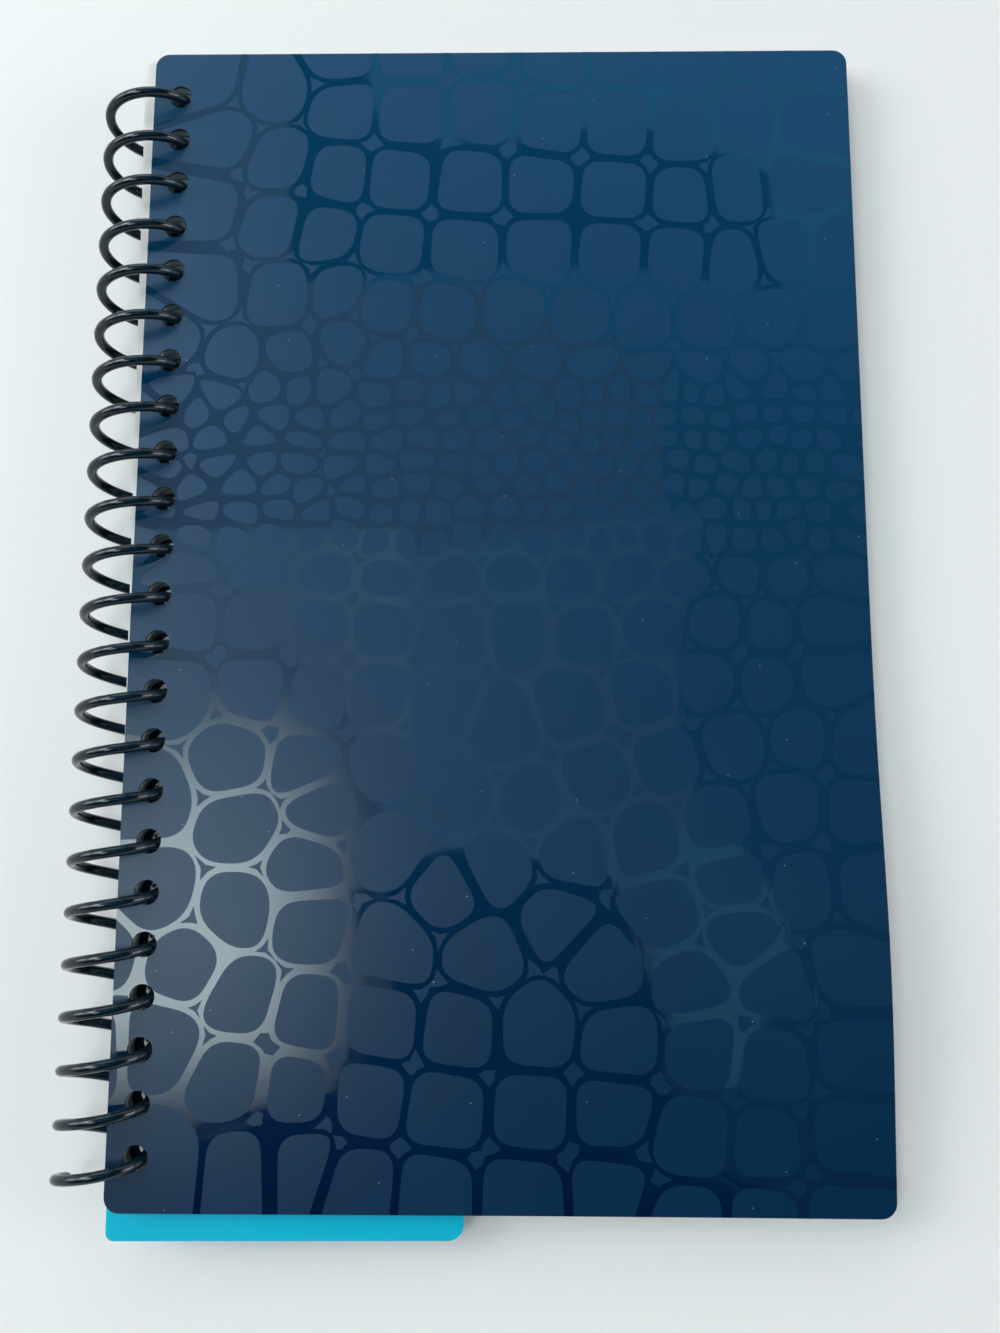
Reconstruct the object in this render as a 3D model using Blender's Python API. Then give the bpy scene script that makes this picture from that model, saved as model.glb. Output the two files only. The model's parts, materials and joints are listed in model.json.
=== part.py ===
"""Coil-bound pocket notebook: card covers, page sections and a page marker on a plastic coil.

Lengths are in metres. X runs across the page away from the spine, Y up the page and Z up.
Every piece is built about the coil's axis, so each object's origin lies on the line it turns about.
"""
import math

import bmesh
import bpy
from mathutils import Vector

for leftover in list(bpy.data.objects):
    bpy.data.objects.remove(leftover, do_unlink=True)

MM = 0.001

# Covers
COVER_WIDTH = 127.0 * MM
COVER_HEIGHT = 203.2 * MM
COVER_THICKNESS = 0.6 * MM
COVER_CORNER_RADIUS = 2.5 * MM

# Page sections, each a bundle of sheets that is turned as one
SECTION_COUNT = 16
SECTION_THICKNESS = 0.22 * MM
PAGE_TRIM = 0.8 * MM
PAGE_CORNER_RADIUS = 2.0 * MM

# Page marker, a narrow plastic leaf that hangs below the covers
MARKER_WIDTH = 57.0 * MM
MARKER_HEIGHT = 203.2 * MM
MARKER_THICKNESS = 0.4 * MM
MARKER_DROP = 4.5 * MM
MARKER_CORNER_RADIUS = 3.0 * MM
SECTIONS_ABOVE_MARKER = 8

# Punched holes, three to the inch, with a whole pitch left over at both ends of the cover
HOLE_PITCH = 8.467 * MM
HOLE_COUNT = round(COVER_HEIGHT / HOLE_PITCH) - 1
HOLE_DIAMETER = 4.4 * MM
HOLE_TO_EDGE = 4.8 * MM
HOLE_MARGIN = 1.0 * MM
COVER_HOLE_SIDES = 12
PAGE_HOLE_SIDES = 6

# Coil
COIL_RADIUS = 7.2 * MM
WIRE_DIAMETER = 1.7 * MM
WIRE_CLEARANCE = 0.28 * MM
POINTS_PER_TURN = 16
COIL_START = math.radians(-135.0)
COIL_END_PAST_LAST_HOLE = math.radians(202.5)
CRIMP_DEPTH = 0.4 * MM

# Stack
LEAF_GAP = 0.05 * MM
STACK_TOP_ABOVE_AXIS = 2.6 * MM
ARC_STEPS = 4
SEAM_MERGE = 0.001 * MM

NAVY_CARD = ((0.020, 0.040, 0.085, 1.0), 0.45)
NAVY_PLASTIC = ((0.006, 0.010, 0.022, 1.0), 0.25)
PAPER = ((0.83, 0.81, 0.76, 1.0), 0.85)
TEAL_PLASTIC = ((0.0, 0.40, 0.54, 1.0), 0.30)


def material(name, look):
    """A plain shaded surface with its own colour and roughness."""
    colour, roughness = look
    made = bpy.data.materials.new(name)
    made.use_nodes = True
    shader = made.node_tree.nodes["Principled BSDF"]
    shader.inputs["Base Color"].default_value = colour
    shader.inputs["Roughness"].default_value = roughness
    shader.inputs["Metallic"].default_value = 0.0
    return made


def stack_heights():
    """Name, thickness and mid height above the coil's axis of each leaf, from the top down."""
    leaves = [("front_cover", COVER_THICKNESS)]
    for number in range(1, SECTION_COUNT + 1):
        leaves.append((f"page_section_{number}", SECTION_THICKNESS))
        if number == SECTIONS_ABOVE_MARKER:
            leaves.append(("page_marker", MARKER_THICKNESS))
    leaves.append(("back_cover", COVER_THICKNESS))
    placed = {}
    top = STACK_TOP_ABOVE_AXIS
    for name, thickness in leaves:
        placed[name] = (thickness, top - thickness / 2)
        top -= thickness + LEAF_GAP
    return placed


STACK = stack_heights()


def ring_angle(height):
    """Where a leaf at this height meets the coil, as an angle round the axis from +X."""
    return math.asin(height / COIL_RADIUS)


FRONT_ANGLE = ring_angle(STACK["front_cover"][1])
BACK_ANGLE = ring_angle(STACK["back_cover"][1])

# A leaf turns half a circle round the coil while its holes stay level, so the wire advances slowly
# over the half that the holes sweep and makes up its pitch underneath, where no hole passes.
SWEEP_MIDDLE = math.pi / 2 + (FRONT_ANGLE + BACK_ANGLE) / 2
WIDEST_LAG = (FRONT_ANGLE - BACK_ANGLE) / 2
AXIAL_PLAY = (HOLE_DIAMETER - WIRE_DIAMETER) / 2 - WIRE_CLEARANCE
WIRE_SWAY = (HOLE_PITCH / 4 - AXIAL_PLAY) / math.cos(WIDEST_LAG)
FIRST_HOLE_Y = (HOLE_COUNT - 1) / 2 * HOLE_PITCH


def wire_y(angle):
    """Height up the page of the wire at an angle counted from the first hole's turn."""
    steady = HOLE_PITCH * (angle - FRONT_ANGLE - math.pi / 2) / math.tau
    return FIRST_HOLE_Y - steady + WIRE_SWAY * math.sin(angle - SWEEP_MIDDLE)


def leaf_y(height):
    """Middle of the wire's travel, up the page, over the half turn of a leaf at this height."""
    angle = ring_angle(height)
    return (wire_y(angle) + wire_y(angle + math.pi)) / 2 - FIRST_HOLE_Y


def leaf_hole_x(height):
    """Distance of a leaf's hole centres from the coil's axis, measured in the leaf."""
    return math.sqrt(COIL_RADIUS ** 2 - height ** 2)


def corner_arc(x, y, radius, start):
    """Quarter circle about a corner's centre, anticlockwise from an angle."""
    points = []
    for step in range(ARC_STEPS + 1):
        angle = start + math.pi / 2 * step / ARC_STEPS
        points.append((x + radius * math.cos(angle), y + radius * math.sin(angle)))
    return points


def half_hole(x, y, sides, start):
    """Half of a polygon that holds the whole of a round hole, clockwise from its top or bottom."""
    radius = HOLE_DIAMETER / 2 / math.cos(math.pi / sides)
    points = []
    for side in range(sides // 2 + 1):
        angle = start - math.tau * side / sides
        points.append((x + radius * math.cos(angle), y + radius * math.sin(angle)))
    return points


def leaf_halves(low, high, radius, hole_x, hole_rows, sides):
    """A leaf's outline as two plain loops, split along the line of its hole centres."""
    inner_low = (low[0] + radius, low[1] + radius)
    inner_high = (high[0] - radius, high[1] - radius)
    outer = [(hole_x, low[1])]
    outer += corner_arc(inner_high[0], inner_low[1], radius, -math.pi / 2)
    outer += corner_arc(inner_high[0], inner_high[1], radius, 0.0)
    outer += [(hole_x, high[1])]
    spine_side = [(hole_x, high[1])]
    spine_side += corner_arc(inner_low[0], inner_high[1], radius, math.pi / 2)
    spine_side += corner_arc(inner_low[0], inner_low[1], radius, math.pi)
    spine_side += [(hole_x, low[1])]
    for y in hole_rows:
        outer += half_hole(hole_x, y, sides, math.pi / 2)
    for y in reversed(hole_rows):
        spine_side += half_hole(hole_x, y, sides, -math.pi / 2)
    return outer, spine_side


def hole_heights(middle, low, high):
    """Hole centres from the top down, as many of the coil's row as fit between a leaf's two ends."""
    reach = HOLE_DIAMETER / 2 + HOLE_MARGIN
    rows = [middle + FIRST_HOLE_Y - hole * HOLE_PITCH for hole in range(HOLE_COUNT)]
    return [y for y in rows if low[1] + reach < y < high[1] - reach]


def add_object(name, data, look, spine):
    """Put finished geometry into the scene as one named piece on the spine."""
    piece = bpy.data.objects.new(name, data)
    data.materials.append(material(name, look))
    bpy.context.scene.collection.objects.link(piece)
    piece.parent = spine
    return piece


def leaf(name, low, high, corner_radius, hole_sides, look, spine):
    """A flat punched leaf between two corners, extruded to its thickness."""
    thickness, height = STACK[name]
    bottom = height - thickness / 2
    hole_rows = hole_heights(leaf_y(height), low, high)
    shape = bmesh.new()
    for loop in leaf_halves(low, high, corner_radius, leaf_hole_x(height), hole_rows, hole_sides):
        shape.faces.new([shape.verts.new((x, y, bottom)) for x, y in loop])
    bmesh.ops.remove_doubles(shape, verts=shape.verts[:], dist=SEAM_MERGE)
    raised = bmesh.ops.extrude_face_region(shape, geom=shape.faces[:])
    top = [part for part in raised["geom"] if isinstance(part, bmesh.types.BMVert)]
    bmesh.ops.translate(shape, vec=(0.0, 0.0, thickness), verts=top)
    bmesh.ops.recalc_face_normals(shape, faces=shape.faces[:])
    data = bpy.data.meshes.new(name)
    shape.to_mesh(data)
    shape.free()
    return add_object(name, data, look, spine)


def leaf_corners(name, width, height, trim):
    """Low and high corners of a leaf whose holes sit at the coil, trimmed on its three free edges."""
    mid_height = STACK[name][1]
    left = leaf_hole_x(mid_height) - HOLE_TO_EDGE
    middle = leaf_y(mid_height)
    low = (left, middle - height / 2 + trim)
    high = (left + width - trim, middle + height / 2 - trim)
    return low, high


def cover(name, spine):
    low, high = leaf_corners(name, COVER_WIDTH, COVER_HEIGHT, 0.0)
    return leaf(name, low, high, COVER_CORNER_RADIUS, COVER_HOLE_SIDES, NAVY_CARD, spine)


def page_section(name, spine):
    low, high = leaf_corners(name, COVER_WIDTH, COVER_HEIGHT, PAGE_TRIM)
    return leaf(name, low, high, PAGE_CORNER_RADIUS, PAGE_HOLE_SIDES, PAPER, spine)


def page_marker(name, spine):
    low, high = leaf_corners(name, MARKER_WIDTH, MARKER_HEIGHT, 0.0)
    drop = MARKER_DROP + (COVER_HEIGHT - MARKER_HEIGHT) / 2
    low = (low[0], low[1] - drop)
    high = (high[0], high[1] - drop)
    return leaf(name, low, high, MARKER_CORNER_RADIUS, PAGE_HOLE_SIDES, TEAL_PLASTIC, spine)


def coil_points():
    """Points along the wire's centre line, with both cut ends bent in towards the axis."""
    step = math.tau / POINTS_PER_TURN
    finish = (HOLE_COUNT - 1) * math.tau + COIL_END_PAST_LAST_HOLE
    count = round((finish - COIL_START) / step) + 1
    # The flats of a many-sided turn lie inside the round one, so its corners stand out by half of that
    corner_radius = COIL_RADIUS * 2 / (1 + math.cos(step / 2))
    points = []
    for number in range(count):
        angle = COIL_START + number * step
        at_cut_end = number in (0, count - 1)
        radius = corner_radius - CRIMP_DEPTH * at_cut_end
        x = radius * math.cos(angle)
        z = radius * math.sin(angle)
        points.append(Vector((x, wire_y(angle), z)))
    return points


def binding_coil(name, spine):
    """The plastic coil, one unbroken tube threaded through every leaf."""
    points = coil_points()
    data = bpy.data.curves.new(name, "CURVE")
    data.dimensions = "3D"
    data.bevel_depth = WIRE_DIAMETER / 2
    data.bevel_resolution = 1
    data.use_fill_caps = True
    path = data.splines.new("POLY")
    path.points.add(len(points) - 1)
    for corner, point in zip(path.points, points):
        corner.co = (*point, 1.0)
    return add_object(name, data, NAVY_PLASTIC, spine)


def least_coil_gap():
    """Smallest clear distance between two turns of the wire, measured on its points."""
    points = coil_points()
    half_turn = POINTS_PER_TURN // 2
    least = math.inf
    for first in range(len(points)):
        for second in range(first + half_turn, len(points)):
            least = min(least, (points[first] - points[second]).length)
    return least - WIRE_DIAMETER


def resting_tilt():
    """Angle at which the coil's underside and the back cover's far edge both touch the table."""
    thickness, height = STACK["back_cover"]
    far_x = leaf_hole_x(height) - HOLE_TO_EDGE + COVER_WIDTH
    underside = height - thickness / 2
    coil_reach = COIL_RADIUS + WIRE_DIAMETER / 2
    reach = math.hypot(far_x, underside)
    return math.asin(coil_reach / reach) - math.atan2(-underside, far_x)


def centre_on_table(spine, pieces):
    """Move the spine so that the whole notebook stands on Z = 0, centred over the origin."""
    bpy.context.view_layer.update()
    scene_state = bpy.context.evaluated_depsgraph_get()
    corners = []
    for piece in pieces:
        shown = piece.evaluated_get(scene_state)
        mesh = shown.to_mesh()
        corners += [piece.matrix_world @ vert.co for vert in mesh.vertices]
        shown.to_mesh_clear()
    low = [min(corner[axis] for corner in corners) for axis in range(3)]
    high = [max(corner[axis] for corner in corners) for axis in range(3)]
    spine.location = (-(low[0] + high[0]) / 2, -(low[1] + high[1]) / 2, -low[2])
    bpy.context.view_layer.update()
    return low, high


def build():
    spine = bpy.data.objects.new("spine_axis", None)
    bpy.context.scene.collection.objects.link(spine)
    spine.rotation_euler = (0.0, resting_tilt(), 0.0)
    pieces = []
    for name in STACK:
        if name.endswith("cover"):
            pieces.append(cover(name, spine))
        elif name == "page_marker":
            pieces.append(page_marker(name, spine))
        else:
            pieces.append(page_section(name, spine))
    pieces.append(binding_coil("binding_coil", spine))
    low, high = centre_on_table(spine, pieces)
    sizes = [round((b - a) / MM, 2) for a, b in zip(low, high)]
    print("overall size in mm:", sizes)
    print("turning axis passes through, in metres:", [round(v, 6) for v in spine.location])
    print("resting tilt in degrees:", round(math.degrees(resting_tilt()), 4))
    print("least gap between turns of the coil in mm:", round(least_coil_gap() / MM, 2))


build()
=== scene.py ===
"""Looks of the coil-bound notebook: laminated card covers with a gloss scale pattern, paper sheets,
a teal plastic page marker and a glossy plastic coil, on a plain pale table.

Pieces are built in the spine's own frame: X across the page, Y up the page, Z out of the front
cover, with the coil's axis along Y through the origin. Lengths are in metres, and in millimetres
where a comment says so.
"""
import json
import math
import random

import bmesh
import bpy
from mathutils import Matrix, Vector
from mathutils.geometry import delaunay_2d_cdt


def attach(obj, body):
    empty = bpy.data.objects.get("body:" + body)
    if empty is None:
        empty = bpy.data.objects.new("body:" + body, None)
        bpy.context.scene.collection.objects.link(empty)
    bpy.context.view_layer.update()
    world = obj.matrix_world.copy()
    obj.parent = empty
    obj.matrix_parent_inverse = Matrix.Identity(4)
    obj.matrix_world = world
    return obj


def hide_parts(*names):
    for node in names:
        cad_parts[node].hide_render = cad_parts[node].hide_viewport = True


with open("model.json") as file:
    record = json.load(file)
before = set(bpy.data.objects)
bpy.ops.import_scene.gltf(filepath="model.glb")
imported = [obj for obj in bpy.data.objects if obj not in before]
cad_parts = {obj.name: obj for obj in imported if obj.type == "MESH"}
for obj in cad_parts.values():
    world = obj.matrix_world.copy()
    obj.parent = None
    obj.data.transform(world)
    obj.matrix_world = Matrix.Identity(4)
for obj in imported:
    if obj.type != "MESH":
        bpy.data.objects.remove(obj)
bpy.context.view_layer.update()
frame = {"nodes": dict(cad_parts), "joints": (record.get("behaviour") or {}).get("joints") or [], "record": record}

MM = 0.001

# Punched holes: the row is that of the solids, and the front holes are as wide as in the photograph
HOLE_PITCH = 8.467 * MM
HOLE_COUNT = 23
HOLE_TO_EDGE = 4.8 * MM
FRONT_HOLE_DIAMETER = 4.2 * MM
SHEET_HOLE_DIAMETER = 5.0 * MM
# The back holes are narrower than the real ones, so that the back cover's dark inside fills the view through the
# front holes as painted shade
BACK_HOLE_DIAMETER = 3.0 * MM
HOLE_SIDES = 24

# Covers
COVER_CORNER_RADIUS = 2.5 * MM
CORNER_STEPS = 8
VARNISH_HEIGHT = 0.02 * MM

# The front cover's free edge has curled up a little, most of all at CURL_HEIGHT above its lower edge
CURL_RISE = 3.2 * MM
CURL_FROM_SHARE = 0.40
CURL_HEIGHT = 38.0 * MM
CURL_SPREAD = 32.0 * MM
CURL_SPREADS_ABOVE = 2.5
CURL_GRID = 4.0 * MM

# Sheets: each section shows two, and those of the upper sections are turned a little
SHEETS_PER_SECTION = 2
SHEET_THICKNESS = 0.09 * MM
PAGE_CORNER_RADIUS = 2.0 * MM
PAGE_TURN = math.radians(0.65)
PAGE_SPINE_EXTRA = 0.75 * MM
TURNED_SECTIONS = range(1, 9)
TURNED_SHARES = (0.9, 1.05)
LEVEL_SHARES = (-0.08, 0.08)
TOP_SECTION = 1
TOP_SECTION_TURN_SHARE = 1.3
SHEET_SCATTER = 0.12 * MM
SHEET_SEED = 100

# Page marker
MARKER_CORNER_RADII = (2.6 * MM, 1.3 * MM, 1.3 * MM, 2.6 * MM)
MARKER_DROP = 4.5 * MM
MARKER_SPINE_EXTRA = 1.3 * MM
MARKER_SLIP = Vector((-0.05, -1.05)) * MM
MARKER_TURN = math.radians(0.35)

# Coil
COIL_RADIUS = 7.2 * MM
COIL_RADIUS_UP = 6.9 * MM
WIRE_DIAMETER = 1.8 * MM
WIRE_SIDES = 12
POINTS_PER_TURN = 40
COIL_START = math.radians(-62.0)
COIL_END_PAST_LAST_HOLE = math.radians(202.5)
COIL_SHIFT = 0.7 * MM
WIRE_SWAY = 0.25 * MM
WIRE_BELOW_HOLE = 0.55 * MM

# Table
TABLE_RADIUS = 4.0
TABLE_SIDES = 64

# Camera, fitted to the row of holes and the cover's corners in an image of 1000 by 1333
IMAGE_HEIGHT_PX = 1333
FOCAL_PX = 1200
SENSOR_HEIGHT = 36.0
NEAR_CLIP = 10.0 * MM
CAMERA_PLACE = Vector((15.2, -40.6, 210.8)) * MM
CAMERA_TURN = [math.radians(angle) for angle in (8.24, 2.78, 0.10)]

# The spine's frame, whose Z is the front cover's outward direction
SPINE = Vector(frame["joints"][0]["pos_m"])
COVER_NORMAL = Vector(next(m["axis"] for m in frame["record"]["mounts"] if m["name"] == "front_face"))
COVER_LEAN = math.atan2(COVER_NORMAL.x, COVER_NORMAL.z)
SPINE_FRAME = Matrix.Translation(SPINE) @ Matrix.Rotation(COVER_LEAN, 4, "Y")

# Scale centres on the cover in millimetres, across from the spine edge and up from the bottom edge
TOP_SCALES = [
    (9, 198), (22, 196), (34, 203), (47, 204), (60, 205), (73, 203), (86, 204), (99, 203),
    (111, 204), (122, 202), (13, 186), (23, 182), (35, 192), (47, 191), (61, 192), (73, 189),
    (85, 188), (97, 187), (108, 190), (120, 189), (11, 174), (34, 179), (45, 178), (58, 177),
    (71, 177), (84, 176), (97, 175), (106, 176), (117, 177), (23, 170), (32, 168), (44, 166),
    (57, 165), (71, 165), (83, 164), (96, 163), (105, 162), (115, 164), (124, 163), (11, 158),
    (25, 156), (34, 156), (43, 153), (54, 152), (66, 152), (78, 151), (89, 150), (100, 150),
    (112, 151), (122, 150), (4, 147), (16, 143), (27, 144), (36, 147), (43, 143), (51, 143),
    (60, 142), (70, 142), (80, 142), (90, 141), (99, 141), (108, 141), (117, 141), (125, 140),
]
MIDDLE_SCALES = [
    (9, 107), (23, 106), (34, 106), (44, 105), (55, 105), (66, 106), (76, 105), (86, 106),
    (96, 105), (105, 106), (113, 105), (121, 106), (9, 97), (22, 97), (33, 96), (43, 96),
    (56, 95), (67, 96), (78, 95), (90, 96), (101, 97), (110, 96), (119, 97), (8, 84),
    (22, 85), (33, 84), (43, 84), (54, 82), (64, 78), (76, 82), (88, 84), (99, 86),
    (109, 86), (119, 87), (114, 77), (124, 76), (103, 76), (92, 73), (80, 70),
]
BOTTOM_SCALES = [
    (5, 67), (18, 73), (31, 72), (44, 72), (57, 67), (69, 66), (20, 62), (34, 65),
    (45, 58), (31, 55), (63, 55), (76, 58), (88, 60), (100, 63), (112, 65), (123, 64),
    (6, 51), (20, 48), (32, 46), (-3, 41), (-5, 26), (55, 51), (73, 46), (91, 47),
    (102, 53), (103, 44), (114, 52), (124, 52), (12, 39), (46, 42), (61, 41), (81, 39),
    (95, 37), (109, 36), (120, 39), (8, 27), (21, 34), (32, 31), (44, 30), (57, 29),
    (70, 29), (83, 27), (97, 26), (108, 24), (120, 26), (20, 21), (30, 19), (42, 18),
    (55, 16), (69, 16), (82, 16), (95, 12), (107, 11), (119, 13), (8, 8), (23, 7),
    (31, 7), (41, 4), (53, 3), (67, 3), (82, 4), (94, -1), (106, -1), (118, 0),
]

# The band of small scales between them, in millimetres
BAND_LOW = 112.0
BAND_HIGH = 137.5
BAND_ROW_STEP = 4.1
BAND_WIDEST_STEP = 7.4
BAND_NARROWEST_STEP = 4.6
BAND_NARROWING = 1.5
BAND_STEP_SHARES = (0.8, 1.25)
BAND_JITTER = 1.0

# Varnish lines between scales, in millimetres
PATTERN_SEED = 11
LINE_WIDTH = 1.35
LINE_WIDTH_SPREAD = 0.25
SMALL_LINE_WIDTH = 1.0
SMALL_SCALE_REACH = 7.0
SHORT_SIDE_SHARE = 0.34
FEWEST_SCALE_SIDES = 4
CORNER_CUT_SHARE = 0.46
CORNER_CUT_MOST = 3.6
CORNER_CURVE_STEPS = 6
ISLAND_SHARE = 0.9
ISLAND_LEAST_REACH = 4.4
ISLAND_LEAST_WAIST = 0.22
ISLAND_LINE = 0.95
ISLAND_LINE_SHARES = (0.8, 1.15)
ISLAND_TIP_SHARES = (0.16, 0.28)
JUNCTION_MERGE = 2.0
WIDEST_JUNCTION_GAP = math.radians(170.0)
PATTERN_MARGIN = 14.0
NEIGHBOUR_REACH = 34.0
SHORTEST_SIDE = 1e-6

# Triangulation: every triangle within the hull, and points this near in millimetres made one
HULL_TRIANGLES = 0
WELD_DISTANCE = 1e-5

# Colours and finishes, where a pair is the two ends of a mottle or of a soft edge
# Stretch of the cover over which its ink goes from foot to head. The change is painted shade at the foot and
# painted haze at the head
PAINTED_HAZE_FROM = -100.0 * MM
PAINTED_HAZE_TO = 100.0 * MM
INK_UNEVENNESS = (0.4, 1.4)
# Matt ink at the foot and the head: the darker foot is painted shade and the lighter head is painted haze over the
# navy print
MATT_INK_SHADED_FOOT = (0.0003, 0.0205, 0.059)
MATT_INK_HAZED_HEAD = (0.0075, 0.058, 0.137)
MATT_HAZE_BEND = 1.5
# Ink under the gloss varnish, with the same painted shade at the foot and painted haze at the head
GLOSS_INK_SHADED_FOOT = (0.0003, 0.007, 0.033)
GLOSS_INK_HAZED_HEAD = (0.0024, 0.043, 0.103)
GLOSS_HAZE_BEND = 0.7
FILM_TINT = (0.87, 0.90, 0.94, 1)
FILM_ROUGHNESS = (0.28, 0.32)
DUST_COLOUR = (0.30, 0.36, 0.40)
DUST_PER_METRE = 55.0
DUST_REACH = (0.003, 0.007)
CARD_EDGE_COLOURS = ((0.004, 0.012, 0.024), (0.012, 0.030, 0.052))
CARD_CHIP_COLOUR = (0.62, 0.66, 0.68)
CARD_CHIP_LEVELS = (0.70, 0.73)
CARD_INSIDE_COLOURS = ((0.006, 0.020, 0.040), (0.012, 0.034, 0.062))
PAPER_COLOURS = ((0.80, 0.81, 0.80), (0.88, 0.88, 0.86))
RULE_COLOUR = (0.55, 0.63, 0.70)
TEAL_COLOURS = ((0.0, 0.46, 0.66), (0.0, 0.50, 0.71))
COIL_COLOURS = ((0.0006, 0.007, 0.013), (0.002, 0.013, 0.023))
COIL_ROUGHNESS = (0.06, 0.13)
TABLE_COLOURS = ((0.82, 0.825, 0.82), (0.85, 0.855, 0.85))

# Ruling of the sheets: half of its spacing, a line's soft edge, and where lines begin and end
HALF_RULE_SPACING = 3.5 * MM
RULE_EDGE = (0.14 * MM, 0.08 * MM)
RULED_FROM = (17.0 * MM, 17.2 * MM)
RULED_TO = (122.2 * MM, 122.0 * MM)

# Sockets of a Mix node that mixes colours
MIX_SHARE = 0
MIX_FIRST = 6
MIX_SECOND = 7
MIX_RESULT = 2

# Materials of a slab's top, rim and underside where it has only one
ONE_LOOK = (0, 0, 0)

# Level reflectors over the cover stand for the room that its varnish shows
REFLECTOR_HEIGHT = 0.9
REFLECTOR_STEP = 0.02
NEAR_HEIGHT = REFLECTOR_HEIGHT - REFLECTOR_STEP
FAR_HEIGHT = REFLECTOR_HEIGHT + REFLECTOR_STEP
REFLECTOR_COLOUR = (0.82, 0.99, 1.0)
SLOPE_STEP = 1.0 * MM

# Outlines of their reflections on the cover, in millimetres from its lower spine corner
WINDOW_OUTLINE = [(-12, 97), (30, 97), (42, 84), (44, 58), (46, 35), (40, 19), (18, 12), (4, 9), (-12, 8)]
SIDE_OUTLINE = [(-90, 200), (-14, 185), (-14, 90), (-90, 90)]
DARK_LOW_OUTLINE = [
    (39, 51), (54, 58), (82, 54), (87, 40), (91, 22), (91, 8), (106, 4),
    (106, -80), (-10, -80), (0, 7), (18, 15), (37, 19), (42, 35),
]
DARK_HIGH_OUTLINE = [
    (24, 214), (36, 214), (42, 187), (62, 185), (85, 189), (100, 185), (112, 179),
    (114, 156), (95, 160), (70, 162), (45, 160), (26, 158),
]
DIM_OUTLINE = [(-12, 214), (24, 214), (26, 158), (60, 158), (92, 142), (92, 116), (45, 108), (-12, 104)]
PALE_OUTLINE = [(86, 60), (100, 62), (104, 58), (106, 30), (102, 20), (91, 22), (88, 40)]
HAZE_OUTLINE = [(-12, 113), (47, 113), (49, 68), (43, 68), (38, 80), (26, 92), (-12, 97)]
MIDDLE_OUTLINE = [(46, 116), (99, 116), (99, 62), (86, 46), (40, 46), (40, 68)]
SKY_OUTLINE = [(30, 230), (150, 230), (150, -60), (86, -60), (86, 50), (98, 62), (98, 112), (40, 140)]

# Their fades: axis, start and end in millimetres on the cover, and the share of strength at the end
FLAT_PLACE = (0, 150)
WINDOW_FADES = [("Y", 52, 90, 0.10), ("Y", 36, 11, 0.05), ("X", 16, 44, 0.06)]
DIM_FADES = [("X", 20, 95, 0.60)]
MIDDLE_FADES = [("X", 47, 98, 0.60)]
SKY_FADES = [("Y", 188, 126, 0.26)]

# Their strengths, and colours where they differ from REFLECTOR_COLOUR
WINDOW_STRENGTH = 9.6
SIDE_STRENGTH = 12.5
DARK_STRENGTH = 0.0
DIM_STRENGTH = 0.46
DIM_COLOUR = (0.95, 0.97, 1.0)
PALE_STRENGTH = 1.05
PALE_COLOUR = (0.26, 0.76, 1.0)
HAZE_STRENGTH = 1.25
HAZE_COLOUR = (0.55, 0.85, 1.0)
MIDDLE_STRENGTH = 1.2
MIDDLE_COLOUR = (0.38, 0.68, 1.0)
SKY_STRENGTH = 1.4
SKY_COLOUR = (0.15, 0.57, 1.0)

# Soft boxes: name, place and width in metres, and power in watts
SOFT_BOXES = [
    ("key_light", (-2.4, 0.7, 1.6), 1.4, 30.0),
    ("fill_light", (2.6, -0.1, 0.75), 1.2, 24.0),
    ("back_light", (-0.2, 1.6, 0.8), 0.8, 4.0),
]
SOFT_BOX_COLOUR = (0.96, 0.99, 1.0)

# The room's colours, and the stretches of a direction's X, Y and Z over which they change
ROOM_DARK = (0.02, 0.025, 0.03)
ROOM_BRIGHT = (1.34, 1.36, 1.36)
ROOM_HORIZON = (1.04, 1.05, 1.06)
SPINE_SIDE = (0.38, -0.42)
PAST_CAMERA = (-0.30, -0.02)
NEAR_HORIZON = (0.60, 0.28)


def material(name):
    """A new node material and its shader."""
    made = bpy.data.materials.new(name)
    made.use_nodes = True
    return made, made.node_tree, made.node_tree.nodes["Principled BSDF"]


def put(tree, socket, value):
    """Set a socket, or link it to another node's output."""
    if isinstance(value, bpy.types.NodeSocket):
        tree.links.new(value, socket)
    else:
        socket.default_value = value


def feed(tree, target, **inputs):
    """Set or link a node's inputs."""
    for key, value in inputs.items():
        put(tree, target.inputs[key.replace("_", " ")], value)


def node(tree, kind, settings=None, **inputs):
    """Add a node, with its settings and its inputs' values or links."""
    added = tree.nodes.new(kind)
    for key, value in (settings or {}).items():
        setattr(added, key, value)
    feed(tree, added, **inputs)
    return added


def object_place(tree):
    """A point's place in its piece's own frame."""
    return node(tree, "ShaderNodeTexCoord").outputs["Object"]


def axes_of(tree, place):
    """The X, Y and Z of a place or direction."""
    return node(tree, "ShaderNodeSeparateXYZ", Vector=place).outputs


def noise(tree, place, scale, detail):
    """A soft random value."""
    return node(tree, "ShaderNodeTexNoise", Vector=place, Scale=scale, Detail=detail).outputs["Fac"]


def grain_bump(tree, shader, place, scale, height):
    """Fine surface grain of a real height."""
    grain = noise(tree, place, scale, detail=3.0)
    bump = node(tree, "ShaderNodeBump", Height=grain, Strength=1.0, Distance=height)
    feed(tree, shader, Normal=bump.outputs["Normal"])


def ranged(tree, value, start, end, first=0.0, last=1.0, kind="LINEAR"):
    """Map a value from one range to another and hold it beyond both ends."""
    made = node(tree, "ShaderNodeMapRange", {"interpolation_type": kind}, Value=value)
    feed(tree, made, From_Min=start, From_Max=end, To_Min=first, To_Max=last)
    return made.outputs["Result"]


def stepped(tree, value, start, end, first=0.0, last=1.0):
    """Map a value from one range to another along a smooth step."""
    return ranged(tree, value, start, end, first, last, "SMOOTHSTEP")


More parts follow.
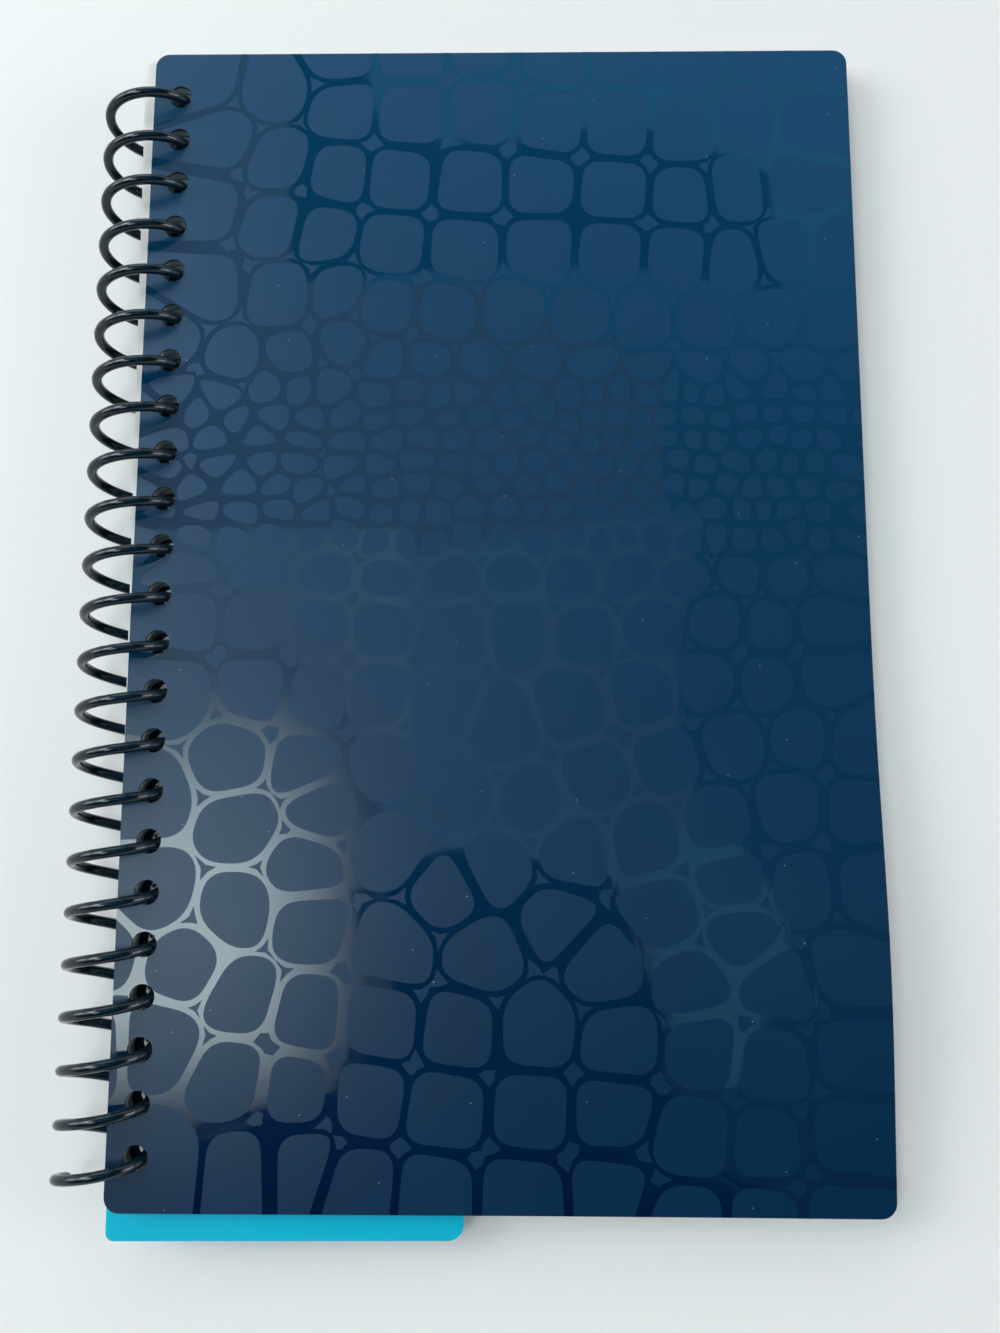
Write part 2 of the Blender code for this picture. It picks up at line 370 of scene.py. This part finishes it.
def mixed(tree, share, first, second):
    """Two colours mixed by a share."""
    made = node(tree, "ShaderNodeMix", {"data_type": "RGBA"})
    put(tree, made.inputs[MIX_SHARE], share)
    for socket, colour in ((MIX_FIRST, first), (MIX_SECOND, second)):
        put(tree, made.inputs[socket], (*colour, 1) if isinstance(colour, tuple) else colour)
    return made.outputs[MIX_RESULT]


def combined(tree, operation, first, second):
    """Two values put together by a math operation."""
    made = node(tree, "ShaderNodeMath", {"operation": operation})
    for socket, value in zip(made.inputs, (first, second)):
        put(tree, socket, value)
    return made.outputs["Value"]


def navy_print_painted_haze(tree, place, foot, head, bend):
    """The cover's navy ink, a little uneven, darker at its foot and lighter at its head: painted shade at the foot
    and painted haze at the head.
    """
    up = ranged(tree, axes_of(tree, place)["Y"], PAINTED_HAZE_FROM, PAINTED_HAZE_TO)
    share = combined(tree, "POWER", up, bend)
    ink_with_painted_haze = mixed(tree, share, foot, head)
    tone = noise(tree, place, scale=24.0, detail=2.0)
    middle = tuple((low + high) / 2 for low, high in zip(foot, head))
    return mixed(tree, stepped(tree, tone, *INK_UNEVENNESS), ink_with_painted_haze, middle)


def matt_laminate():
    """Navy print under a soft matt film, with painted shade towards its foot and painted haze towards its head,
    fine grain and a few specks of dust.
    """
    made, tree, shader = material("matt_laminate")
    place = object_place(tree)
    ink_with_painted_haze = navy_print_painted_haze(tree, place, MATT_INK_SHADED_FOOT, MATT_INK_HAZED_HEAD, MATT_HAZE_BEND)
    flat = {"voronoi_dimensions": "2D"}
    dust = node(tree, "ShaderNodeTexVoronoi", flat, Vector=place, Scale=DUST_PER_METRE)
    clean = stepped(tree, dust.outputs["Distance"], *DUST_REACH)
    wear = noise(tree, place, scale=260.0, detail=3.0)
    rough = ranged(tree, wear, 0.0, 1.0, *FILM_ROUGHNESS)
    feed(tree, shader, Base_Color=mixed(tree, clean, DUST_COLOUR, ink_with_painted_haze), Roughness=rough)
    feed(tree, shader, Specular_IOR_Level=0.20, Specular_Tint=FILM_TINT)
    feed(tree, shader, Coat_Weight=0.10, Coat_Roughness=0.22)
    grain_bump(tree, shader, place, scale=5200.0, height=0.002 * MM)
    return made


def gloss_varnish():
    """Clear gloss varnish, which deepens the print under it, with the same painted shade towards the foot and
    painted haze towards the head, and a faint brushed ripple.
    """
    made, tree, shader = material("gloss_varnish")
    place = object_place(tree)
    ink_with_painted_haze = navy_print_painted_haze(tree, place, GLOSS_INK_SHADED_FOOT, GLOSS_INK_HAZED_HEAD, GLOSS_HAZE_BEND)
    feed(tree, shader, Base_Color=ink_with_painted_haze, Roughness=0.035)
    grain_bump(tree, shader, place, scale=420.0, height=0.003 * MM)
    return made


def card_core():
    """Cut edge of the dyed card, with small pale chips."""
    made, tree, shader = material("card_edge")
    place = object_place(tree)
    fibre = noise(tree, place, scale=2500.0, detail=3.0)
    dyed = mixed(tree, fibre, *CARD_EDGE_COLOURS)
    chips = noise(tree, place, scale=330.0, detail=2.0)
    chipped = stepped(tree, chips, *CARD_CHIP_LEVELS)
    feed(tree, shader, Base_Color=mixed(tree, chipped, dyed, CARD_CHIP_COLOUR), Roughness=0.75)
    grain_bump(tree, shader, place, scale=3000.0, height=0.01 * MM)
    return made


def card_inside():
    """Uncoated inside of a cover, dyed like its core."""
    made, tree, shader = material("card_inside")
    place = object_place(tree)
    fibre = noise(tree, place, scale=1400.0, detail=5.0)
    feed(tree, shader, Base_Color=mixed(tree, fibre, *CARD_INSIDE_COLOURS), Roughness=0.8)
    grain_bump(tree, shader, place, scale=2600.0, height=0.006 * MM)
    return made


def ruled_paper():
    """Off-white paper with faint plain ruling."""
    made, tree, shader = material("ruled_paper")
    place = object_place(tree)
    fibre = noise(tree, place, scale=1100.0, detail=5.0)
    paper = mixed(tree, fibre, *PAPER_COLOURS)
    axes = axes_of(tree, place)
    rows = combined(tree, "PINGPONG", axes["Y"], HALF_RULE_SPACING)
    inked = stepped(tree, rows, *RULE_EDGE)
    for limits in (RULED_FROM, RULED_TO):
        inked = combined(tree, "MULTIPLY", inked, stepped(tree, axes["X"], *limits))
    feed(tree, shader, Base_Color=mixed(tree, inked, paper, RULE_COLOUR), Roughness=0.9)
    grain_bump(tree, shader, place, scale=2200.0, height=0.006 * MM)
    return made


def teal_plastic():
    """Smooth coloured sheet plastic with a slight orange-peel gloss."""
    made, tree, shader = material("teal_plastic")
    place = object_place(tree)
    tone = noise(tree, place, scale=45.0, detail=2.0)
    feed(tree, shader, Base_Color=mixed(tree, tone, *TEAL_COLOURS))
    feed(tree, shader, Roughness=0.4, Specular_IOR_Level=0.15)
    grain_bump(tree, shader, place, scale=900.0, height=0.003 * MM)
    return made


def coil_plastic():
    """Extruded navy filament, glossy and slightly mottled."""
    made, tree, shader = material("coil_plastic")
    place = object_place(tree)
    mottle = noise(tree, place, scale=500.0, detail=3.0)
    rough = ranged(tree, mottle, 0.0, 1.0, *COIL_ROUGHNESS)
    feed(tree, shader, Base_Color=mixed(tree, mottle, *COIL_COLOURS), Roughness=rough)
    feed(tree, shader, Specular_IOR_Level=0.35)
    grain_bump(tree, shader, place, scale=1500.0, height=0.003 * MM)
    return made


def local_box(name):
    """Lowest and highest corner of a solid in the spine's frame."""
    back = SPINE_FRAME.inverted()
    corners = [back @ vert.co for vert in frame["nodes"][name].data.vertices]
    low = Vector([min(corner[axis] for corner in corners) for axis in range(3)])
    high = Vector([max(corner[axis] for corner in corners) for axis in range(3)])
    return low, high


def cover_middle():
    """Height of the front cover's middle, which is also the middle of its row of holes."""
    low, high = local_box("front_cover")
    return (low.y + high.y) / 2


def rounded_outline(low, high, radii):
    """A rectangle with round corners, anticlockwise from the upper right one."""
    corners = [
        (high[0], high[1], -1, -1),
        (low[0], high[1], 1, -1),
        (low[0], low[1], 1, 1),
        (high[0], low[1], -1, 1),
    ]
    points = []
    for quarter, ((x, y, inward_x, inward_y), radius) in enumerate(zip(corners, radii)):
        for step in range(CORNER_STEPS + 1):
            angle = math.pi / 2 * (quarter + step / CORNER_STEPS)
            across = x + radius * (inward_x + math.cos(angle))
            up = y + radius * (inward_y + math.sin(angle))
            points.append((across, up))
    return points


def round_hole(x, y, diameter):
    """Outline of one punched hole."""
    reach = diameter / 2
    points = []
    for side in range(HOLE_SIDES):
        angle = math.tau / HOLE_SIDES * side
        points.append((x + reach * math.cos(angle), y + reach * math.sin(angle)))
    return points


def hole_row(x, middle_y, diameter):
    """All the holes of a leaf whose row has this middle."""
    first = middle_y + (HOLE_COUNT - 1) / 2 * HOLE_PITCH
    return [round_hole(x, first - number * HOLE_PITCH, diameter) for number in range(HOLE_COUNT)]


def in_millimetres(points):
    """Flat points as vectors in millimetres."""
    return [Vector((x / MM, y / MM)) for x, y in points]


def filled(outline, holes, shapes=(), lines=()):
    """Triangles of an outline without its holes, split along lines, and marked inside the shapes."""
    points = []
    faces = []
    for loop in [outline, *holes, *shapes]:
        faces.append(list(range(len(points), len(points) + len(loop))))
        points += in_millimetres(loop)
    edges = []
    for line in lines:
        edges.append((len(points), len(points) + 1))
        points += in_millimetres(line)
    found = delaunay_2d_cdt(points, edges, faces, HULL_TRIANGLES, WELD_DISTANCE)
    verts, _, triangles, _, _, origins = found
    first_shape = 1 + len(holes)
    kept = []
    for triangle, origin in zip(triangles, origins):
        in_hole = any(0 < number < first_shape for number in origin)
        if 0 in origin and not in_hole:
            kept.append((triangle, any(number >= first_shape for number in origin)))
    return [(vert.x * MM, vert.y * MM) for vert in verts], kept


def lift(shape, geometry, height):
    """Move the points of newly extruded geometry up."""
    verts = [item for item in geometry if isinstance(item, bmesh.types.BMVert)]
    bmesh.ops.translate(shape, vec=(0, 0, height), verts=verts)


def add_slab(shape, region, low_z, high_z, looks):
    """Add a flat region as a closed slab, with materials for its top, rim and underside."""
    flat, triangles = region
    used = sorted({corner for triangle, _ in triangles for corner in triangle})
    verts = {corner: shape.verts.new((*flat[corner], low_z)) for corner in used}
    under = []
    for triangle, _ in triangles:
        under.append(shape.faces.new([verts[corner] for corner in reversed(triangle)]))
    raised = bmesh.ops.extrude_face_region(shape, geom=under, use_keep_orig=True)["geom"]
    lift(shape, raised, high_z - low_z)
    top = [face for face in raised if isinstance(face, bmesh.types.BMFace)]
    for face in top:
        face.normal_flip()
    rim = {face for vert in verts.values() for face in vert.link_faces} - set(under)
    for faces, look in ((top, looks[0]), (rim, looks[1]), (under, looks[2])):
        for face in faces:
            face.material_index = look
    return top


def add_piece(name, shape, materials, body, slot, *replaced):
    """Turn finished geometry into a piece that rides on a body and stands for solids."""
    bmesh.ops.recalc_face_normals(shape, faces=shape.faces[:])
    mesh = bpy.data.meshes.new(name)
    shape.to_mesh(mesh)
    shape.free()
    for look in materials:
        mesh.materials.append(look)
    piece = bpy.data.objects.new(name, mesh)
    bpy.context.scene.collection.objects.link(piece)
    piece.matrix_world = SPINE_FRAME
    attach(piece, body)
    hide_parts(*replaced)


def clipped(polygon, point, normal):
    """The part of a convex polygon on the side of a line that its normal points to."""
    kept = []
    for first, second in zip(polygon, polygon[1:] + polygon[:1]):
        before = (first - point).dot(normal)
        after = (second - point).dot(normal)
        if before >= 0:
            kept.append(first)
        if (before < 0) != (after < 0):
            kept.append(first.lerp(second, before / (before - after)))
    return kept


def band_scales(rng, width):
    """Centres of the small scales, in rows that close up towards the free edge."""
    centres = []
    rows = round((BAND_HIGH - BAND_LOW) / BAND_ROW_STEP)
    for row in range(rows + 1):
        y = BAND_LOW + (BAND_HIGH - BAND_LOW) * row / rows
        x = rng.uniform(0.0, BAND_WIDEST_STEP)
        while x < width:
            aside = rng.uniform(-BAND_JITTER, BAND_JITTER)
            above = rng.uniform(-BAND_JITTER, BAND_JITTER)
            centres.append((x + aside, y + above))
            share = min(1.0, x / width * BAND_NARROWING)
            step = BAND_WIDEST_STEP + (BAND_NARROWEST_STEP - BAND_WIDEST_STEP) * share
            x += step * rng.uniform(*BAND_STEP_SHARES)
    return centres


def without_short_sides(polygon):
    """A polygon whose shortest sides are closed up, one at a time."""
    kept = list(polygon)
    while len(kept) > FEWEST_SCALE_SIDES:
        sides = [(kept[number] - kept[number - 1]).length for number in range(len(kept))]
        shortest = min(range(len(kept)), key=sides.__getitem__)
        if sides[shortest] > SHORT_SIDE_SHARE * sum(sides) / len(sides):
            break
        kept[shortest] = (kept[shortest] + kept[shortest - 1]) / 2
        del kept[shortest - 1]
    return kept


def corner_cut(side):
    """How much of a side its corner's curve takes up."""
    return min(CORNER_CUT_SHARE, CORNER_CUT_MOST / max(side.length, SHORTEST_SIDE))


def rounded_scale(polygon):
    """A scale's outline with its corners cut to curves."""
    polygon = without_short_sides(polygon)
    points = []
    count = len(polygon)
    for number, corner in enumerate(polygon):
        back = polygon[number - 1] - corner
        ahead = polygon[(number + 1) % count] - corner
        start = corner + back * corner_cut(back)
        end = corner + ahead * corner_cut(ahead)
        for step in range(CORNER_CURVE_STEPS + 1):
            share = step / CORNER_CURVE_STEPS
            points.append(start.lerp(corner, share).lerp(corner.lerp(end, share), share))
    return points


def surrounded(place, around):
    """Whether scales lie on all sides of a place."""
    angles = sorted(math.atan2(centre.y - place.y, centre.x - place.x) for centre, _ in around)
    gaps = [after - before for before, after in zip(angles, angles[1:] + [angles[0] + math.tau])]
    return len(angles) > 2 and max(gaps) < WIDEST_JUNCTION_GAP


def junction_island(rng, place, around):
    """A small pointed patch without varnish where scales meet, one line's width from each of them."""
    points = []
    around = sorted(around, key=lambda scale: math.atan2(scale[0].y - place.y, scale[0].x - place.x))
    for (centre, outline), (after, _) in zip(around, around[1:] + around[:1]):
        toward = (centre - place).normalized()
        gap = min((point - place).length for point in outline)
        waist = max(ISLAND_LEAST_WAIST, gap - ISLAND_LINE * rng.uniform(*ISLAND_LINE_SHARES))
        points.append(place + toward * waist)
        between = (toward + (after - place).normalized()).normalized()
        points.append(place + between * (centre - place).length * rng.uniform(*ISLAND_TIP_SHARES))
    return points


def note_junction(junctions, corner, scale):
    """Add a cell's corner to the junction it is close to, or start a new one."""
    for places, around in junctions:
        if (places[0] - corner).length < JUNCTION_MERGE:
            places.append(corner)
            if scale not in around:
                around.append(scale)
            return
    junctions.append(([corner], [scale]))


def scale_cell(centre, others, line_widths, corners):
    """One scale's cell, whole and with its share of the lines around it taken off."""
    whole = inner = corners
    for other, width in zip(others, line_widths):
        away = (centre - other).normalized()
        middle = (centre + other) / 2
        whole = clipped(whole, middle, away)
        inner = clipped(inner, middle + away * width / 2, away)
    return whole, inner


def scale_pattern(width, height):
    """Outlines of the matt scales, and of the matt islands where they meet, in millimetres."""
    rng = random.Random(PATTERN_SEED)
    centres = [Vector(centre) for centre in TOP_SCALES + MIDDLE_SCALES + BOTTOM_SCALES]
    centres += [Vector(centre) for centre in band_scales(rng, width)]
    sides = (-PATTERN_MARGIN, width + PATTERN_MARGIN)
    ends = (-PATTERN_MARGIN, height + PATTERN_MARGIN)
    corners = [Vector((sides[x], ends[y])) for x, y in ((0, 0), (1, 0), (1, 1), (0, 1))]
    scales = []
    junctions = []
    for centre in centres:
        near = sorted(((other - centre).length, index) for index, other in enumerate(centres))[1:]
        others = [centres[index] for distance, index in near if distance < NEIGHBOUR_REACH]
        third_nearest = near[2][0]
        line = SMALL_LINE_WIDTH if third_nearest < SMALL_SCALE_REACH else LINE_WIDTH
        line_widths = [line * (1 + rng.uniform(-LINE_WIDTH_SPREAD, LINE_WIDTH_SPREAD)) for _ in others]
        whole, inner = scale_cell(centre, others, line_widths, corners)
        if len(inner) < 3:
            continue
        scales.append((centre, rounded_scale(inner)))
        for corner in whole:
            note_junction(junctions, corner, scales[-1])
    islands = []
    for places, around in junctions:
        place = sum(places, Vector((0, 0))) / len(places)
        reach = min((place - centre).length for centre, _ in around)
        if surrounded(place, around) and reach > ISLAND_LEAST_REACH and rng.random() < ISLAND_SHARE:
            islands.append(junction_island(rng, place, around))
    return [outline for _, outline in scales] + islands


def curl_lines(low, high):
    """Lines that split the curled part of the cover finely enough to bend."""
    lines = []
    start = low.x + (high.x - low.x) * CURL_FROM_SHARE
    x = start
    while x < high.x:
        lines.append(((x, low.y), (x, high.y)))
        x += CURL_GRID
    y = low.y + CURL_GRID
    while y < low.y + CURL_HEIGHT + CURL_SPREADS_ABOVE * CURL_SPREAD:
        lines.append(((start, y), (high.x, y)))
        y += CURL_GRID
    return lines


def curl_rise(place, low, high):
    """How far a spot of the front cover is lifted."""
    share = min(1.0, (place.x - low.x) / (high.x - low.x))
    out = max(0.0, share - CURL_FROM_SHARE) / (1 - CURL_FROM_SHARE)
    up = (place.y - low.y - CURL_HEIGHT) / CURL_SPREAD
    return CURL_RISE * out * out * math.exp(-up * up)


def front_cover(looks):
    """Laminated front card with the varnish pattern standing on it."""
    low, high = local_box("front_cover")
    outline = rounded_outline(low, high, [COVER_CORNER_RADIUS] * 4)
    holes = hole_row(low.x + HOLE_TO_EDGE, cover_middle(), FRONT_HOLE_DIAMETER)
    pattern = scale_pattern((high.x - low.x) / MM, (high.y - low.y) / MM)
    scales = [[(low.x + point.x * MM, low.y + point.y * MM) for point in scale] for scale in pattern]
    region = filled(outline, holes, scales, curl_lines(low, high))
    shape = bmesh.new()
    laminate, varnish, edge, inside = range(4)
    top = add_slab(shape, region, low.z, high.z, (laminate, edge, inside))
    varnished = [face for face, (_, matt) in zip(top, region[1]) if not matt]
    for face in varnished:
        face.material_index = varnish
    raised = bmesh.ops.extrude_face_region(shape, geom=varnished)["geom"]
    lift(shape, raised, VARNISH_HEIGHT)
    for vert in shape.verts:
        vert.co.z += curl_rise(vert.co, low, high)
    materials = [looks["laminate"], looks["varnish"], looks["edge"], looks["inside"]]
    add_piece("front_cover_card", shape, materials, "front_cover", "cover_card", "front_cover")


def back_cover(looks):
    """Plain laminated back card, with narrow holes around the wire; its dark inside, seen through the front holes,
    is painted shade.
    """
    low, high = local_box("back_cover")
    outline = rounded_outline(low, high, [COVER_CORNER_RADIUS] * 4)
    middle_y = (low.y + high.y) / 2 - WIRE_BELOW_HOLE
    holes = hole_row(low.x + HOLE_TO_EDGE + COIL_SHIFT, middle_y, BACK_HOLE_DIAMETER)
    shape = bmesh.new()
    laminate, edge, inside = range(3)
    add_slab(shape, filled(outline, holes), low.z, high.z, (inside, edge, laminate))
    materials = [looks["laminate"], looks["edge"], looks["inside"]]
    add_piece("back_cover_card", shape, materials, "base", "cover_card", "back_cover")


def loose(outline, middle, turn, shift):
    """An outline turned about a leaf's middle and shifted, as a leaf sits in its loose holes."""
    spin = Matrix.Rotation(turn, 2)
    return [tuple(spin @ (Vector(point) - middle) + middle + shift) for point in outline]


def page_section(number, looks):
    """The loose sheets of one section, level with the front cover."""
    name = f"page_section_{number}"
    rng = random.Random(SHEET_SEED + number)
    low, high = local_box(name)
    middle = Vector((low.x + HOLE_TO_EDGE, (low.y + high.y) / 2))
    level = Vector((0, cover_middle() - middle.y))
    turned = number in TURNED_SECTIONS
    spine_edge = low.x - PAGE_SPINE_EXTRA * turned
    outline = rounded_outline((spine_edge, low.y), high, [PAGE_CORNER_RADIUS] * 4)
    holes = hole_row(middle.x, cover_middle(), SHEET_HOLE_DIAMETER)
    step = (high.z - low.z - SHEET_THICKNESS) / (SHEETS_PER_SECTION - 1)
    shape = bmesh.new()
    for sheet in range(SHEETS_PER_SECTION):
        shift = Vector([rng.uniform(-SHEET_SCATTER, SHEET_SCATTER) for _ in range(2)])
        turn = PAGE_TURN * rng.uniform(*(TURNED_SHARES if turned else LEVEL_SHARES))
        if number == TOP_SECTION:
            turn *= TOP_SECTION_TURN_SHARE
        placed = loose(outline, middle, turn, level + shift)
        bottom = low.z + step * sheet
        add_slab(shape, filled(placed, holes), bottom, bottom + SHEET_THICKNESS, ONE_LOOK)
    add_piece(f"sheets_{number}", shape, [looks["paper"]], name, "page_paper", name)


def page_marker(looks):
    """Teal plastic leaf that hangs below the covers."""
    low, high = local_box("page_marker")
    middle = Vector((low.x + HOLE_TO_EDGE, (low.y + high.y) / 2 + MARKER_DROP))
    outline = rounded_outline((low.x - MARKER_SPINE_EXTRA, low.y), high, MARKER_CORNER_RADII)
    placed = loose(outline, middle, MARKER_TURN, MARKER_SLIP)
    holes = hole_row(middle.x, cover_middle(), SHEET_HOLE_DIAMETER)
    shape = bmesh.new()
    add_slab(shape, filled(placed, holes), low.z, high.z, ONE_LOOK)
    add_piece("marker_leaf", shape, [looks["teal"]], "page_marker", "marker_plastic", "page_marker")


def wire_angle(name):
    """The wire's angle round the coil where it passes a cover's middle plane."""
    low, high = local_box(name)
    return math.asin((low.z + high.z) / 2 / COIL_RADIUS_UP)


def coil_points():
    """Points along the wire's centre line."""
    front_angle = wire_angle("front_cover")
    sweep_middle = math.pi / 2 + (front_angle + wire_angle("back_cover")) / 2
    first_hole = cover_middle() + (HOLE_COUNT - 1) / 2 * HOLE_PITCH
    finish = (HOLE_COUNT - 1) * math.tau + COIL_END_PAST_LAST_HOLE
    count = round((finish - COIL_START) / math.tau * POINTS_PER_TURN) + 1
    at_hole = WIRE_SWAY * math.sin(front_angle - sweep_middle)
    points = []
    for number in range(count):
        angle = COIL_START + (finish - COIL_START) * number / (count - 1)
        sway = WIRE_SWAY * math.sin(angle - sweep_middle) - at_hole
        x = COIL_SHIFT + COIL_RADIUS * math.cos(angle)
        y = first_hole - WIRE_BELOW_HOLE - HOLE_PITCH * (angle - front_angle) / math.tau + sway
        points.append(Vector((x, y, COIL_RADIUS_UP * math.sin(angle))))
    return points


def binding_coil(looks):
    """The plastic coil as one smooth tube with flat cut ends."""
    points = coil_points()
    shape = bmesh.new()
    rings = []
    for number, point in enumerate(points):
        ahead = points[min(number + 1, len(points) - 1)] - points[max(number - 1, 0)]
        out = Vector((point.x - COIL_SHIFT, 0, point.z)).normalized()
        side = ahead.cross(out).normalized()
        out = side.cross(ahead).normalized()
        ring = []
        for corner in range(WIRE_SIDES):
            turn = math.tau * corner / WIRE_SIDES
            toward = out * math.cos(turn) + side * math.sin(turn)
            ring.append(shape.verts.new(point + toward * WIRE_DIAMETER / 2))
        rings.append(ring)
    for first, second in zip(rings, rings[1:]):
        for corner in range(WIRE_SIDES):
            after = (corner + 1) % WIRE_SIDES
            shape.faces.new((first[corner], first[after], second[after], second[corner])).smooth = True
    shape.faces.new(rings[0])
    shape.faces.new(rings[-1])
    add_piece("coil_wire", shape, [looks["coil"]], "base", "coil_plastic", "binding_coil")


def table():
    """Pale table top."""
    made, tree, shader = material("pale_table")
    tone = noise(tree, object_place(tree), scale=3.0, detail=2.0)
    feed(tree, shader, Base_Color=mixed(tree, tone, *TABLE_COLOURS), Roughness=0.6)
    bpy.ops.mesh.primitive_circle_add(vertices=TABLE_SIDES, radius=TABLE_RADIUS, fill_type="NGON")
    floor = bpy.context.object
    floor.name = "table_top"
    floor.data.materials.append(made)


def camera():
    """Camera over the cover, at the photograph's angle."""
    data = bpy.data.cameras.new("camera")
    data.sensor_fit = "VERTICAL"
    data.sensor_height = SENSOR_HEIGHT
    data.lens = FOCAL_PX / IMAGE_HEIGHT_PX * SENSOR_HEIGHT
    data.clip_start = NEAR_CLIP
    view = bpy.data.objects.new("camera", data)
    view.location = CAMERA_PLACE
    view.rotation_euler = CAMERA_TURN
    bpy.context.scene.collection.objects.link(view)
    bpy.context.scene.camera = view


def mirrored(x, y, height):
    """Where a level plane shows in the cover at a place in millimetres, seen from the camera."""
    low, high = local_box("front_cover")
    place = Vector((low.x + x * MM, low.y + y * MM, high.z))
    rise = curl_rise(place, low, high)
    slope_x = (rise - curl_rise(place - Vector((SLOPE_STEP, 0, 0)), low, high)) / SLOPE_STEP
    slope_y = (rise - curl_rise(place - Vector((0, SLOPE_STEP, 0)), low, high)) / SLOPE_STEP
    normal = SPINE_FRAME.to_3x3() @ Vector((-slope_x, -slope_y, 1)).normalized()
    spot = SPINE_FRAME @ (place + Vector((0, 0, rise)))
    ray = (spot - CAMERA_PLACE).reflect(normal)
    return spot + ray * ((height - spot.z) / ray.z)


def fade_edge(axis, edge, height):
    """Where a fade's edge on the flat part of the cover shows on a level plane."""
    x, y = FLAT_PLACE
    place = (edge, y) if axis == "X" else (x, edge)
    return mirrored(*place, height)["XY".index(axis)]


def faded(tree, strength, fades, height):
    """A strength that changes smoothly to a share of itself along each fade's stretch of the cover."""
    axes = axes_of(tree, object_place(tree))
    level = strength
    for axis, start, end, share in fades:
        edges = [fade_edge(axis, edge, height) for edge in (start, end)]
        change = stepped(tree, axes[axis], *edges, 1.0, share)
        level = combined(tree, "MULTIPLY", change, level)
    return level


def reflector(
    name, outline, strength, fades=(), height=REFLECTOR_HEIGHT, colour=REFLECTOR_COLOUR, lights=False
):
    """A card whose reflection in the cover fills an outline, and which may also light the scene."""
    corners = [mirrored(x, y, height) for x, y in outline]
    mesh = bpy.data.meshes.new(name)
    mesh.from_pydata(corners, [], [list(range(len(corners)))])
    made, tree, shader = material(name)
    tree.nodes.remove(shader)
    level = faded(tree, strength, fades, height)
    glow = node(tree, "ShaderNodeEmission", Color=(*colour, 1), Strength=level)
    feed(tree, tree.nodes["Material Output"], Surface=glow.outputs["Emission"])
    mesh.materials.append(made)
    card = bpy.data.objects.new(name, mesh)
    bpy.context.scene.collection.objects.link(card)
    card.visible_camera = False
    card.visible_shadow = False
    card.visible_diffuse = lights


def reflectors():
    """The window, walls and dark corners that the cover reflects."""
    reflector("window_card", WINDOW_OUTLINE, WINDOW_STRENGTH, WINDOW_FADES, lights=True)
    reflector("side_card", SIDE_OUTLINE, SIDE_STRENGTH)
    reflector("dark_card_low", DARK_LOW_OUTLINE, DARK_STRENGTH)
    reflector("dark_card_high", DARK_HIGH_OUTLINE, DARK_STRENGTH)
    reflector("dim_card", DIM_OUTLINE, DIM_STRENGTH, DIM_FADES, colour=DIM_COLOUR)
    reflector("pale_card", PALE_OUTLINE, PALE_STRENGTH, height=NEAR_HEIGHT, colour=PALE_COLOUR)
    reflector("haze_card", HAZE_OUTLINE, HAZE_STRENGTH, height=NEAR_HEIGHT, colour=HAZE_COLOUR)
    reflector("middle_card", MIDDLE_OUTLINE, MIDDLE_STRENGTH, MIDDLE_FADES, FAR_HEIGHT, MIDDLE_COLOUR)
    reflector("sky_card", SKY_OUTLINE, SKY_STRENGTH, SKY_FADES, FAR_HEIGHT, SKY_COLOUR)


def soft_light(name, place, size, power):
    """A square soft box aimed at the notebook."""
    data = bpy.data.lights.new(name, "AREA")
    data.size = size
    data.energy = power
    data.color = SOFT_BOX_COLOUR
    lamp = bpy.data.objects.new(name, data)
    lamp.location = place
    lamp.rotation_euler = (-Vector(place)).to_track_quat("-Z", "Y").to_euler()
    bpy.context.scene.collection.objects.link(lamp)


def surroundings():
    """Pale room, brighter towards the spine side and the horizon."""
    world = bpy.data.worlds.new("room")
    bpy.context.scene.world = world
    world.use_nodes = True
    tree = world.node_tree
    axes = axes_of(tree, node(tree, "ShaderNodeTexCoord").outputs["Generated"])
    spine_side = stepped(tree, axes["X"], *SPINE_SIDE)
    past_camera = stepped(tree, axes["Y"], *PAST_CAMERA)
    bright = combined(tree, "MULTIPLY", spine_side, past_camera)
    overhead = mixed(tree, bright, ROOM_DARK, ROOM_BRIGHT)
    horizon = stepped(tree, axes["Z"], *NEAR_HORIZON)
    feed(tree, tree.nodes["Background"], Color=mixed(tree, horizon, overhead, ROOM_HORIZON))


def main():
    bpy.context.scene.view_settings.view_transform = "Standard"
    camera()
    looks = {
        "laminate": matt_laminate(),
        "varnish": gloss_varnish(),
        "edge": card_core(),
        "inside": card_inside(),
        "paper": ruled_paper(),
        "teal": teal_plastic(),
        "coil": coil_plastic(),
    }
    front_cover(looks)
    back_cover(looks)
    sections = [name for name in frame["nodes"] if name.startswith("page_section_")]
    for number in range(1, len(sections) + 1):
        page_section(number, looks)
    page_marker(looks)
    binding_coil(looks)
    table()
    surroundings()
    reflectors()
    for soft_box in SOFT_BOXES:
        soft_light(*soft_box)
    bpy.context.view_layer.update()


main()
